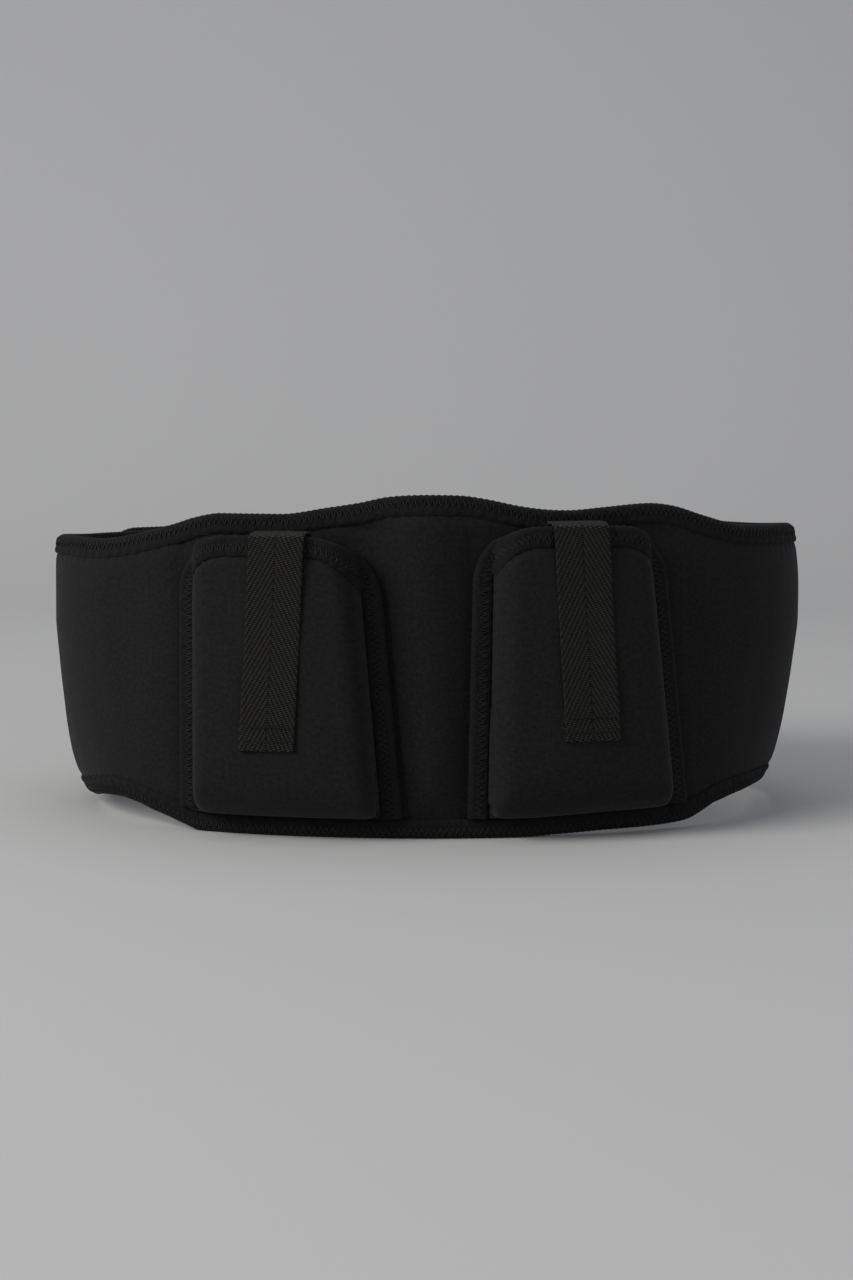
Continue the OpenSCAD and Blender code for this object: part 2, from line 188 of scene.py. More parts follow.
def waves(a, b, size, seed):
    """Gentle uneven waves over a surface, from -1 to 1, with features about size across."""
    draw = np.random.default_rng(seed)
    total = 0
    for _ in range(6):
        turn = draw.uniform(0, math.tau)
        length = size * draw.uniform(0.7, 1.9)
        phase = draw.uniform(0, math.tau)
        across = a * math.cos(turn) + b * math.sin(turn)
        total = total + np.sin(across * math.tau / length + phase)
    return total / 6


def loop_point(t, off):
    """Point of the closed loop in plan at angle t, off outside its middle line."""
    c, s = np.cos(np.radians(t)), np.sin(np.radians(t))
    nx, ny = c / LOOP_HALF_W, s / LOOP_HALF_D
    size = np.hypot(nx, ny)
    return LOOP_HALF_W * c + nx / size * off, LOOP_HALF_D * s + ny / size * off


def angle_at(x):
    return -np.degrees(np.arccos(np.asarray(x, float) / LOOP_HALF_W))


def speed(t):
    """Millimetres round the loop for each degree."""
    t = np.radians(t)
    return np.hypot(LOOP_HALF_W * np.sin(t), LOOP_HALF_D * np.cos(t)) * math.pi / 180


# Distance round the loop from the middle of the front, for each angle
TURN = np.linspace(-135, 162, 3000)
ROUND = np.concatenate([[0], np.cumsum((speed(TURN[1:]) + speed(TURN[:-1])) / 2
                                       * np.diff(TURN))])
ROUND -= np.interp(-90, TURN, ROUND)


def round_at(t):
    return np.interp(t, TURN, ROUND)


def angle_round(s):
    return np.interp(s, ROUND, TURN)


def lean(t, z, amount):
    """How far the sheet leans out: its lower part leans and curls in at the turns."""
    s = np.where(t < -90, -180 - t, np.minimum(t, 180 - t))
    share = ease((s + 50) / 38) * (1 - 0.85 * ease((s - 15) / 50))
    high = 3 * (np.maximum(z - 112, 0) / 24) ** 2
    low = amount * (0.4 * np.maximum(90 - z, 0) / 85 + 0.6 * np.exp((5 - z) / 13))
    return -share * (high + low)


def swell(x, z):
    """Soft roll of the strip between the pockets."""
    middle = mix(4, -2.5, z / 145)
    half = mix(13.5, 22.5, z / 145)
    q = np.maximum(0, 1 - ((x - middle) / half) ** 2)
    return CENTRE_SWELL * q * q * ease((z - 8) / 16) * (1 - 0.5 * ease((z - 138) / 14))


def belt_point(half, t, z, n):
    """Point of the belt at angle t from a half's turn and height z, n outside its middle."""
    t, z, n = np.broadcast_arrays(np.asarray(t, float), z, n)
    amount = mix(half.lean_here, half.lean_there, ease((t - 20) / 140))
    layer = half.layer * clamp01((t - 180 + WING_END) / (2 * WING_END - 180))
    across = half.side * LOOP_HALF_W * np.cos(np.radians(t))
    front = np.where(t < FLEX_ANGLE, swell(across, z), 0)
    x, y = loop_point(t, n + lean(t, z, amount) + layer + front)
    return np.stack([half.side * x + SHIFT[0], y + SHIFT[1], z], -1)


def edge_height(half, t, front, wing):
    across = half.side * LOOP_HALF_W * np.cos(np.radians(t))
    return np.where(np.asarray(t) < FLEX_ANGLE, curve(front, across), curve(wing, t))


def top_height(half, t):
    drop = corner_drop((WING_END - t) * speed(WING_END), WING_CORNER_R)
    return edge_height(half, t, FRONT_TOP, half.top) - drop


def foot_height(half, t):
    rise = corner_drop((WING_END - t) * speed(WING_END), WING_CORNER_R)
    return edge_height(half, t, FRONT_BOTTOM, half.bottom) + rise


def front_point(x, z, n):
    """Point of the front sheet at x across the front."""
    return belt_point(RIGHT, angle_at(x), z, n)


def pocket_left(p, z):
    return mix(p.left_foot, p.left_top, clamp01(z / p.top))


def pocket_right(p, z):
    return mix(p.right_foot, p.right_top, clamp01(z / p.top))


def pocket_foot(x):
    return curve(FRONT_BOTTOM, x) + FOOT_LIFT


def pocket_mid(p, x, z):
    """Distance of the pocket's middle from the belt's middle."""
    side = np.minimum(x - pocket_left(p, z), pocket_right(p, z) - x)
    off_side = 1 - clamp01((side - POCKET_SEAM) / SIDE_SHOULDER)
    off_foot = 1 - clamp01((z - pocket_foot(x)) / FOOT_SHOULDER)
    off = clamp01((off_side ** 5 + off_foot ** 5) ** 0.2)
    return mix(SEAM_N, POCKET_BULGE, np.sqrt(1 - off ** 2.4))


def pocket_point(p, x, z, n):
    return front_point(x, z, n + pocket_mid(p, x, z))


def pocket_top(p, x):
    return (p.top - corner_drop(x - pocket_left(p, p.top), p.left_r)
            - corner_drop(pocket_right(p, p.top) - x, p.right_r))


def pocket_inside(p, x, z):
    """Distance of a place on the pocket from its bound edge."""
    left, right = x - pocket_left(p, z), pocket_right(p, z) - x
    inside = np.minimum(np.minimum(left, right), p.top - z)
    for side, r in ((left, p.left_r), (right, p.right_r)):
        corner = (side < r) & (z > p.top - r)
        inside = np.where(corner, r - np.hypot(r - side, z - p.top + r), inside)
    return inside


def pressed_down(x, z):
    """How far the belt is pressed in under a pocket and along its sewn edge, from 0 to 1."""
    share = 0
    for p in POCKETS:
        outside = np.maximum(pocket_left(p, z) - x, x - pocket_right(p, z))
        share = np.maximum(share, (1 - ease((outside - 0.5) / 6.5)) * ease((p.top + 3 - z) / 9))
    return share


# ---- Materials ----

class Nodes:
    """Short names for building one material."""

    def __init__(self, name):
        self.material = bpy.data.materials.new(name)
        self.material.use_nodes = True
        self.tree = self.material.node_tree
        self.shader = self.tree.nodes["Principled BSDF"]
        self.coords = self.node("ShaderNodeAttribute")
        self.coords.attribute_name = "weave"

    def node(self, kind, **values):
        made = self.tree.nodes.new(kind)
        for key, value in values.items():
            setattr(made, key, value)
        return made

    def link(self, out, to):
        self.tree.links.new(out, to)

    def feed(self, socket, value):
        if hasattr(value, "is_output"):
            self.link(value, socket)
        else:
            socket.default_value = value

    def math(self, operation, a, b=0.0):
        made = self.node("ShaderNodeMath", operation=operation)
        for socket, value in zip(made.inputs, (a, b)):
            self.feed(socket, value)
        return made.outputs[0]

    def times(self, a, b):
        return self.math("MULTIPLY", a, b)

    def plus(self, a, b):
        return self.math("ADD", a, b)

    def minus(self, a, b):
        return self.math("SUBTRACT", a, b)

    def wave(self, value, length):
        """Sine of a measure that repeats after a length."""
        return self.math("SINE", self.times(value, math.tau / length))

    def place(self):
        """The two measures of the fabric in millimetres."""
        split = self.node("ShaderNodeSeparateXYZ")
        self.link(self.coords.outputs["Vector"], split.inputs[0])
        return split.outputs[0], split.outputs[1]

    def noise(self, scale, detail=2.0, roughness=0.5):
        made = self.node("ShaderNodeTexNoise")
        self.link(self.coords.outputs["Vector"], made.inputs["Vector"])
        made.inputs["Scale"].default_value = scale
        made.inputs["Detail"].default_value = detail
        made.inputs["Roughness"].default_value = roughness
        return made.outputs["Fac"]

    def ramp(self, value, *stops):
        made = self.node("ShaderNodeValToRGB")
        self.feed(made.inputs[0], value)
        elements = made.color_ramp.elements
        while len(elements) < len(stops):
            elements.new(0.5)
        for element, (at, colour) in zip(elements, stops):
            element.position = at
            element.color = (*colour, 1)
        return made.outputs[0]

    def blend_colour(self, factor, a, b):
        made = self.node("ShaderNodeMix", data_type="RGBA")
        self.feed(made.inputs[0], factor)
        for socket, value in ((made.inputs[6], a), (made.inputs[7], b)):
            self.feed(socket, (*value, 1) if isinstance(value, tuple) else value)
        return made.outputs[2]

    def bump(self, height, strength, distance_mm, under=None):
        made = self.node("ShaderNodeBump")
        made.inputs["Strength"].default_value = strength
        made.inputs["Distance"].default_value = distance_mm * MM
        self.link(height, made.inputs["Height"])
        if under is not None:
            self.link(under, made.inputs["Normal"])
        return made.outputs[0]

    def finish(self, colour, roughness, normal, sheen=0.0, sheen_roughness=0.5, specular=0.3):
        self.feed(self.shader.inputs["Base Color"], colour)
        self.feed(self.shader.inputs["Roughness"], roughness)
        self.link(normal, self.shader.inputs["Normal"])
        self.shader.inputs["Sheen Weight"].default_value = sheen
        self.shader.inputs["Sheen Roughness"].default_value = sheen_roughness
        self.shader.inputs["Specular IOR Level"].default_value = specular
        return self.material


def lint(m, colour, amount=0.30):
    """A few tiny pale specks of lint over a colour."""
    speck = m.node("ShaderNodeTexVoronoi")
    m.link(m.coords.outputs["Vector"], speck.inputs["Vector"])
    speck.inputs["Scale"].default_value = 0.11
    near = m.math("LESS_THAN", speck.outputs["Distance"], 0.028)
    chosen = m.math("GREATER_THAN", m.noise(0.31, 0.0), 0.60)
    return m.blend_colour(m.times(m.times(near, chosen), amount), colour, (0.09, 0.09, 0.09))


def neoprene_material():
    """Jersey-faced foam: fine knit loops, soft sheen and uneven nap."""
    m = Nodes("neoprene")
    across, along = m.place()
    column = m.math("FRACT", m.math("DIVIDE", across, 0.62))
    arm = m.math("ABSOLUTE", m.minus(column, 0.5))
    row = m.wave(m.plus(m.math("DIVIDE", along, 0.52), arm), 1)
    rib = m.wave(column, 2)
    knit = m.plus(m.times(row, 0.35), rib)
    fine = m.bump(knit, 0.35, 0.12)
    nap = m.bump(m.noise(0.55, 4.0, 0.6), 0.35, 0.5, fine)
    patchy = m.noise(0.035, 3.0, 0.55)
    tone = m.ramp(patchy, (0.30, (0.0044, 0.0043, 0.0044)), (0.72, (0.0068, 0.0066, 0.0065)))
    tone = m.blend_colour(m.times(knit, 0.16), tone, (0.0125, 0.0122, 0.0120))
    mottle = m.ramp(m.noise(0.55, 4.0, 0.8), (0.36, (0.0020, 0.0020, 0.0021)),
                    (0.66, (0.0134, 0.0131, 0.0131)))
    tone = m.blend_colour(0.62, tone, mottle)
    rough = m.plus(m.times(m.noise(0.6, 2.0), 0.12), 0.74)
    return m.finish(lint(m, tone), rough, nap, sheen=0.045, specular=0.12)


def binding_material():
    """Elastic binding tape: fine ribs, and looped stitches with a painted highlight on each
    loop's crown that reads as a pale speck.
    """
    m = Nodes("binding")
    across, along = m.place()
    height = m.plus(m.wave(across, 0.62), m.times(m.wave(along, 0.9), 0.45))
    weave = m.bump(height, 0.45, 0.16)
    loops = m.node("ShaderNodeTexVoronoi")
    m.link(m.coords.outputs["Vector"], loops.inputs["Vector"])
    loops.inputs["Scale"].default_value = 0.75
    crown = m.minus(1.0, loops.outputs["Distance"])
    fuzz = m.bump(crown, 0.5, 0.45, weave)
    tone = m.ramp(m.noise(0.4, 4.0, 0.75), (0.34, (0.0024, 0.0024, 0.0024)),
                  (0.68, (0.0070, 0.0070, 0.0068)))
    tone = m.blend_colour(m.times(m.plus(height, 1.4), 0.12), tone,
                          (0.0130, 0.0130, 0.0124))
    # Painted highlight: the crowns of the loops are coloured lighter, as where they catch the
    # light.
    tone = m.blend_colour(m.times(m.math("POWER", crown, 3.0), 0.30), tone,
                          (0.0200, 0.0200, 0.0195))
    return m.finish(lint(m, tone), 0.82, fuzz, sheen=0.025, specular=0.10)


def thread_material():
    """Textured nylon thread, a little lighter than what it is sewn through."""
    m = Nodes("thread")
    across, along = m.place()
    twist = m.bump(m.wave(m.plus(across, along), 0.45), 0.5, 0.08)
    tone = m.ramp(m.noise(0.5, 2.0), (0.3, (0.0040, 0.0040, 0.0039)),
                  (0.7, (0.0095, 0.0094, 0.0090)))
    return m.finish(tone, 0.62, twist, sheen=0.03, specular=0.22)


def webbing_material():
    """Herringbone twill: diagonal cords that meet at a spine down the middle."""
    m = Nodes("webbing")
    across, along = m.place()
    arm = m.math("ABSOLUTE", across)
    cord = m.wave(m.plus(along, m.times(arm, 1.85)), 3.9)
    pick = m.wave(m.minus(along, m.times(arm, 0.25)), 1.0)
    uneven = m.minus(m.noise(0.75, 3.0, 0.7), 0.5)
    spine = m.minus(1.0, m.math("MINIMUM", m.math("DIVIDE", arm, 0.5), 1.0))
    height = m.plus(m.times(cord, 0.62), m.times(pick, 0.85))
    height = m.minus(m.plus(height, m.times(uneven, 1.9)), m.times(spine, 0.8))
    twill = m.bump(height, 0.9, 0.30)
    fuzz = m.bump(m.noise(1.8, 3.0, 0.6), 0.3, 0.25, twill)
    # Painted highlight and shade: the colour follows the weave's height, lighter on the cords'
    # crests, darker in the grooves and along the spine.
    tone = m.ramp(m.plus(m.times(height, 0.5), 0.5), (0.05, (0.0020, 0.0019, 0.0016)),
                  (0.50, (0.0082, 0.0080, 0.0068)), (0.95, (0.0330, 0.0315, 0.0265)))
    worn = m.blend_colour(m.times(m.noise(0.06, 2.0), 0.20), tone, (0.0110, 0.0105, 0.0090))
    return m.finish(lint(m, worn, 0.2), 0.85, fuzz, sheen=0.04, specular=0.10)


def pouch_material():
    """Plain woven nylon of the weight packs."""
    m = Nodes("pouch_cloth")
    across, along = m.place()
    height = m.times(m.wave(across, 0.9), m.wave(along, 0.9))
    weave = m.bump(height, 0.6, 0.16)
    crease = m.bump(m.noise(0.07, 4.0, 0.6), 0.5, 1.6, weave)
    tone = m.ramp(m.plus(m.times(height, 0.3), 0.5),
                  (0.1, (0.0105, 0.0112, 0.0130)), (0.9, (0.0235, 0.0245, 0.0275)))
    return m.finish(tone, 0.52, crease, sheen=0.05, specular=0.4)


def hook_material():
    """Hook tape: close rows of small stiff hooks on a woven ground."""
    m = Nodes("hook_tape")
    across, along = m.place()
    dots = m.math("MAXIMUM", m.times(m.wave(across, 1.4), m.wave(along, 1.7)), 0.0)
    hooks = m.bump(dots, 0.9, 0.5)
    tone = m.ramp(dots, (0.1, (0.0060, 0.0060, 0.0064)), (0.8, (0.026, 0.026, 0.027)))
    return m.finish(tone, 0.5, hooks, specular=0.4)


def loop_material():
    """Loop tape: a fuzzy brushed pile."""
    m = Nodes("loop_tape")
    pile = m.bump(m.noise(1.3, 5.0, 0.75), 0.9, 0.7)
    swirl = m.bump(m.noise(0.18, 3.0, 0.6), 0.4, 1.0, pile)
    tone = m.ramp(m.noise(0.9, 4.0, 0.7), (0.32, (0.0065, 0.0065, 0.0070)),
                  (0.68, (0.0215, 0.0212, 0.0215)))
    return m.finish(tone, 0.95, swirl, sheen=0.35, sheen_roughness=0.6, specular=0.1)


def lead_material():
    """Dull cast lead with a pitted skin."""
    m = Nodes("cast_lead")
    pits = m.bump(m.noise(0.5, 5.0, 0.65), 0.5, 0.5)
    tone = m.ramp(m.noise(0.12, 4.0), (0.3, (0.13, 0.135, 0.145)), (0.7, (0.26, 0.26, 0.27)))
    m.shader.inputs["Metallic"].default_value = 0.85
    return m.finish(tone, 0.58, pits, specular=0.5)


NEOPRENE = neoprene_material()
BINDING = binding_material()
THREAD = thread_material()
WEBBING = webbing_material()
POUCH = pouch_material()
HOOK = hook_material()
LOOP = loop_material()
LEAD = lead_material()


# ---- Meshes ----

def add_object(name, data):
    made = bpy.data.objects.new(name, data)
    bpy.context.scene.collection.objects.link(made)
    return made


def unit(rows):
    """The rows, each made one long."""
    return rows / np.linalg.norm(rows, axis=1)[:, None]


def run_along(line):
    """Distance along a line of points to each of them."""
    return np.concatenate([[0], np.cumsum(np.linalg.norm(np.diff(line, axis=0), axis=1))])


def facing_out(points, faces):
    """The faces, turned over if together they enclose a negative volume."""
    a, b, c, d = (points[faces[:, k]] for k in range(4))
    volume = (np.einsum("ij,ij->i", a, np.cross(b, c)) + np.einsum("ij,ij->i", a, np.cross(c, d)))
    return faces if volume.sum() > 0 else faces[:, ::-1]


def piece(name, points, faces, weave, material, sharp=50):
    """A smooth mesh object from points in millimetres and four-sided faces."""
    points = points.reshape(-1, 3)
    faces = facing_out(points, faces)
    mesh = bpy.data.meshes.new(name)
    mesh.from_pydata((points * MM).tolist(), [], faces.tolist())
    mesh.polygons.foreach_set("use_smooth", np.ones(len(faces), bool))
    mesh.set_sharp_from_angle(angle=math.radians(sharp))
    flat = np.zeros((len(points), 3), np.float32)
    flat[:, :weave.shape[-1]] = weave.reshape(len(points), -1)
    mesh.attributes.new("weave", "FLOAT_VECTOR", "POINT").data.foreach_set("vector", flat.ravel())
    mesh.materials.append(material)
    made = add_object(name, mesh)
    return made


def grid_faces(nu, nv, wrap_v=False):
    """Faces of a grid of nu by nv points."""
    i = np.arange(nu - 1)[:, None]
    j = np.arange(nv if wrap_v else nv - 1)[None, :]
    k = (j + 1) % nv
    a = i * nv
    b = a + nv
    return np.stack([a + j, a + k, b + k, b + j], -1).reshape(-1, 4)


def slab(front, back):
    """Closed sheet between two grids of points."""
    nu, nv = front.shape[:2]
    m = nu * nv
    grid = grid_faces(nu, nv)
    number = np.arange(m).reshape(nu, nv)
    rim = np.concatenate([number[:, 0], number[-1, 1:], number[-2::-1, -1], number[0, -2:0:-1]])
    ahead = np.roll(rim, -1)
    sides = np.stack([rim, ahead, ahead + m, rim + m], -1)
    faces = np.concatenate([grid, grid[:, ::-1] + m, sides])
    return np.concatenate([front.reshape(-1, 3), back.reshape(-1, 3)]), faces


def slab_piece(name, front, back, weave, material, slot):
    """Closed sheet between two grids, with the fabric's two measures."""
    points, faces = slab(front, back)
    flat = np.stack(np.broadcast_arrays(*weave), -1).reshape(-1, 2)
    return piece(name, points, faces, np.concatenate([flat, flat]), material)


def swept(rings):
    """Closed skin through rings of points, with its two ends filled by strips."""
    nu, nv = rings.shape[:2]
    ends = []
    for first, flip in ((0, 1), ((nu - 1) * nv, -1)):
        low, high = np.arange(nv // 2 - 1), nv - 1 - np.arange(nv // 2 - 1)
        cap = np.stack([low, high, high - 1, low + 1], -1)[:, ::flip]
        ends.append(cap + first)
    return rings.reshape(-1, 3), np.concatenate([grid_faces(nu, nv, True), *ends])


def tube(line, radius, up):
    """Points and faces of a four-sided thread; up is roughly away from the fabric."""
    tangent = unit(np.gradient(line, axis=0))
    across = unit(np.cross(tangent, up))
    over = np.cross(across, tangent)
    turns = (np.arange(4) + 0.5) / 4 * math.tau
    rings = (line[:, None] + radius * (np.cos(turns)[None, :, None] * across[:, None]
                                       + np.sin(turns)[None, :, None] * over[:, None]))
    return swept(rings)


def threads(name, lines, radius):
    """One piece made of several threads: each is a line and its up directions."""
    points, faces, weave, count = [], [], [], 0
    for line, up in lines:
        p, f = tube(line, radius, up)
        run = run_along(line)
        points.append(p)
        faces.append(facing_out(p, f) + count)
        weave.append(np.stack([np.repeat(run, 4), np.tile([0, 0.3, 0.6, 0.9], len(line))], -1))
        count += len(p)
    return piece(name, np.concatenate(points), np.concatenate(faces), np.concatenate(weave),
                 THREAD, sharp=80)


class Edge:
    """An edge to bind: a path (u, v), in millimetres each way, and the place rule."""

    def __init__(self, path, place, half_t, step, ups):
        path = np.array(path, float)
        run = run_along(path)
        keep = np.concatenate([[True], np.diff(run) > 1e-6])
        path, run = path[keep], run[keep]
        self.run = np.linspace(0, run[-1], int(round(run[-1] / step)) + 1)
        self.path = np.stack([np.interp(self.run, run, path[:, k]) for k in (0, 1)], -1)
        self.place = place
        self.half_t = half_t
        self.ups = ups
        wide = max(1, int(round(1.5 / step)))
        pad = np.pad(self.path, ((wide, wide), (0, 0)), "edge")
        d = unit(pad[2 * wide:] - pad[:-2 * wide])
        self.out = np.stack([-d[:, 1], d[:, 0]], -1)

    def at(self, run, h, n):
        """Point at a distance along the edge, h outside it, n from the sheet's middle."""
        u, v = (np.interp(run, self.run, self.path[:, k]) for k in (0, 1))
        eu, ev = (np.interp(run, self.run, self.out[:, k]) for k in (0, 1))
        return self.place(u + h * eu, v + h * ev, n)

    def skin_n(self, run, h, face):
        """How far the binding's outside is from the sheet's middle."""
        rest = self.half_t + FOLD_GAP + BINDING_T
        back = clamp01((h + BINDING_W) / 1.3)
        round_over = np.sqrt(np.maximum(0.0, 1 - np.maximum(0, (h + 1.6) / 2.8) ** 2))
        lip = 0.55 * (1 - back) ** 2
        stitched = np.exp(-((h + self.ups) / 2.1) ** 2)
        pull = 0.16 * (1 + np.cos(run * math.tau / (STITCH / 2))) * stitched
        pucker = 0.22 * np.sin(run * math.tau / (STITCH * 2.13) + 1.3 * face) \
            * np.exp(-((h + 6.4) / 1.6) ** 2)
        puff = 0.20 * np.exp(-((h + 6.0) / 1.5) ** 2)
        uneven = 0.12 * waves(run, h * 3, 17, 5)
        return face * np.maximum(0.02, (rest - lip - pull + pucker + puff + uneven) * round_over)


def binding(name, edge):
    """Padded binding tape folded over an edge, as one closed swept skin."""
    width = BINDING_W + 0.25 * waves(edge.run, 0, 9, 3)
    crest = BINDING_T + FOLD_GAP - 0.05 - 0.20 * (1 - np.cos(edge.run * math.tau / STITCH))
    share = np.array([1, 0.99, 0.93, 0.84, 0.74, 0.64, 0.54, 0.44, 0.34, 0.24, 0.14, 0.06, 0])
    over = np.array([0.55, 0.85, 0.98])
    rings = []
    for face in (-1, 1):
        hs = [-width * s for s in share] + [crest * o for o in over]
        ring = [edge.at(edge.run, h, edge.skin_n(edge.run, h, face)) for h in hs]
        rings.append((np.stack(ring, 1), np.stack(hs, 1)))
    inner = []
    for face, share_in in ((1, 0.97), (1, 0.5), (1, 0.0), (-1, 0.0), (-1, 0.5), (-1, 0.97)):
        h = -width * share_in - (0.05 if share_in == 0 else 0)
        inner.append(edge.at(edge.run, h, face * (edge.half_t - 0.35)))
    (low, low_h), (high, high_h) = rings
    points = np.concatenate([low, high[:, ::-1], np.stack(inner, 1)], 1)
    count = points.shape[1]
    around = np.concatenate([low_h, -high_h[:, ::-1] + 4, np.zeros((len(width), 6))], 1)
    weave = np.stack([np.repeat(edge.run[:, None], count, 1), around], -1)
    rings_all, faces = swept(points)
    return piece(name, rings_all, faces, weave, BINDING, sharp=60)


def zigzag(edge, middle, reach, face):
    """One thread that zigzags along an edge on one face: (line, up directions)."""
    start, end = 1, edge.run[-1] - 1
    legs = int((end - start) / (STITCH / 2))
    f = np.linspace(0, legs, legs * 4 + 1)
    leg = np.floor(f).astype(int)
    within = f - leg
    run = start + f * (STITCH / 2) + 0.28 * waves(f * STITCH, 0, 9, 73)
    swing = np.where(leg % 2 == 0, within, 1 - within)
    h = middle + 0.22 * waves(run, 0, 14, 71) + reach * (swing - 0.5) * (
        1 + 0.25 * waves(run, 0, 6, 72))
    n = edge.skin_n(run, h, face)
    arch = 0.10 + 0.24 * np.sin(within * math.pi)
    line = edge.at(run, h, n + face * (arch - 0.06))
    up = edge.at(run, h, n + face * 0.5) - edge.at(run, h, n)
    return line, unit(up)


# ---- Belt ----

def half_path(half, start_t):
    """Edge of one half: along the top, round the wing's end and back along the foot."""
    corner = WING_CORNER_R / speed(WING_END)
    run = np.linspace(round_at(start_t), round_at(WING_END - corner), 700)
    t = angle_round(run)
    end = round_at(WING_END)
    r = WING_CORNER_R
    turns = np.radians(np.linspace(90, 0, 24))
    top = float(edge_height(half, WING_END, FRONT_TOP, half.top))
    foot = float(edge_height(half, WING_END, FRONT_BOTTOM, half.bottom))
    above = np.stack([run, edge_height(half, t, FRONT_TOP, half.top)], -1)
    below = np.stack([run, edge_height(half, t, FRONT_BOTTOM, half.bottom)], -1)
    arc = np.stack([end - r + r * np.cos(turns), r * np.sin(turns) - r], -1)
    return np.concatenate([above, arc + [0, top], (arc * [1, -1])[::-1] + [0, foot], below[::-1]])


def sway(half, s, z):
    """Slow wave of the neoprene in and out, in millimetres."""
    return 0.9 * waves(s, z, 95, 21 + half.side)


def belt_half(half, start_t):
    """Neoprene of one half, its edge binding and the stitches on both faces."""
    start, end = round_at(start_t), round_at(WING_END)
    even_end, spacing = end - 24, 2.2
    run = np.concatenate([np.linspace(start, even_end, int((even_end - start) / spacing)),
                          end - 22 * (1 - np.sin(np.linspace(0.05, math.pi / 2, 16)))])
    run[-1] = end - 0.4
    t = angle_round(run)[:, None]
    v = np.linspace(0, 1, 58)[None, :]
    low, high = foot_height(half, t) + 0.4, top_height(half, t) - 0.4
    z = mix(low, high, 0.5 - 0.5 * np.cos(v * math.pi) * (1 - 0.25 * np.sin(v * math.pi) ** 2))
    edge_d = np.minimum(np.minimum(z - low, high - z), end - run[:, None])
    s = np.broadcast_to(run[:, None], z.shape)
    inner = ease((edge_d - 5.5) / 6.5)
    half_t = mix(NEOPRENE_T / 2 - 0.35, NEOPRENE_T / 2 + 0.55, inner)
    # The pockets hold the front, and the binding the edges
    free = np.where(t < -55, 0.35, 1.0) * ease((edge_d - 6) / 25)
    ripple = sway(half, s, z) * free + 0.16 * waves(s, z, 21, 8) * inner
    tuck = 0.30 * np.sin(s * math.tau / 6.1 + 2 * waves(s, 0, 40, 4)) \
        * np.exp(-((edge_d - 8) / 3.5) ** 2)
    across = half.side * LOOP_HALF_W * np.cos(np.radians(t))
    pressed = np.where(t < FLEX_ANGLE + 8, pressed_down(across, z), 0)
    puffed = 0.5 * ease((z - 20) / 20) * ease((FLEX_ANGLE + 40 - t) / 40) * (1 - pressed)
    # A small dent beside the left pocket's mouth
    dent = np.where(t < FLEX_ANGLE, 1.8 * np.exp(-((across + 26) / 10) ** 2
                                                 - ((z - 140.5) / 3.2) ** 2), 0)
    front = belt_point(half, t, z, half_t + ripple + tuck - 0.95 * pressed + puffed - dent)
    back = belt_point(half, t, z, -half_t + ripple - tuck)
    panel = slab_piece(half.name + "_neoprene", front, back, (s, z), NEOPRENE, "neoprene")

    def place(u, w, n):
        return belt_point(half, angle_round(u), w, n)

    edge = Edge(half_path(half, start_t), place, NEOPRENE_T / 2, STITCH / 4, ups=2.2)
    strip = binding(half.name + "_edge_binding", edge)
    sewn = threads(half.name + "_edge_stitches",
                   [zigzag(edge, middle=-2.3, reach=3.6, face=face) for face in (1, -1)],
                   THREAD_R)
    return panel, strip, sewn


def patch(slot, half, start_t, face, material):
    """Hook or loop patch sewn to a wing, with a row of stitches round it."""
    name = slot + "_tape"
    start, end = round_at(start_t), round_at(PATCH_END)
    s = np.linspace(start, end, int((end - start) / 2.5))
    t = angle_round(s)[:, None]
    v = np.linspace(0, 1, 40)[None, :]
    z = mix(foot_height(half, t) + PATCH_LIFT, top_height(half, t) - PATCH_LIFT, v)
    edge_d = np.minimum(np.minimum(v * 100, (1 - v) * 100),
                        np.minimum(s - s[0], s[-1] - s)[:, None])
    ripple = sway(half, s[:, None], z)
    base = NEOPRENE_T / 2 + 0.2
    sunk = np.exp(-((edge_d - PATCH_SEAM) / 0.7) ** 2)
    puff = 0.75 + 0.35 * ease((edge_d - 3) / 4) - 0.35 * sunk
    outer = belt_point(half, t, z, face * (base + puff) + ripple)
    inner = belt_point(half, t, z, face * base + ripple)
    made = slab_piece(name, outer, inner, (s[:, None], z), material, slot)
    near, far = s[0] + PATCH_SEAM, s[-1] - PATCH_SEAM
    long_run, short_run = 240, 60
    ring_s = np.concatenate([np.linspace(near, far, long_run), np.full(short_run, far),
                             np.linspace(far, near, long_run), np.full(short_run, near)])
    ring_t = angle_round(ring_s)
    low = foot_height(half, ring_t) + PATCH_LIFT + PATCH_SEAM
    high = top_height(half, ring_t) - PATCH_LIFT - PATCH_SEAM
    share = np.concatenate([np.zeros(long_run), np.linspace(0, 1, short_run),
                            np.ones(long_run), np.linspace(1, 0, short_run)])
    ring_z = mix(low, high, share)
    bob = 0.16 * np.cos(np.arange(len(ring_s)) * math.pi)
    line = belt_point(half, ring_t, ring_z,
                      face * (base + 0.62 + bob) + sway(half, ring_s, ring_z))
    up = line - belt_point(half, ring_t, ring_z, np.zeros(len(ring_s)))
    keep = np.concatenate([[True], np.linalg.norm(np.diff(line, axis=0), axis=1) > 0.3])
    sewn = threads(name + "_stitches", [(line[keep], unit(up[keep]))], SEAM_THREAD_R)
    return made, sewn


# ---- Pockets ----

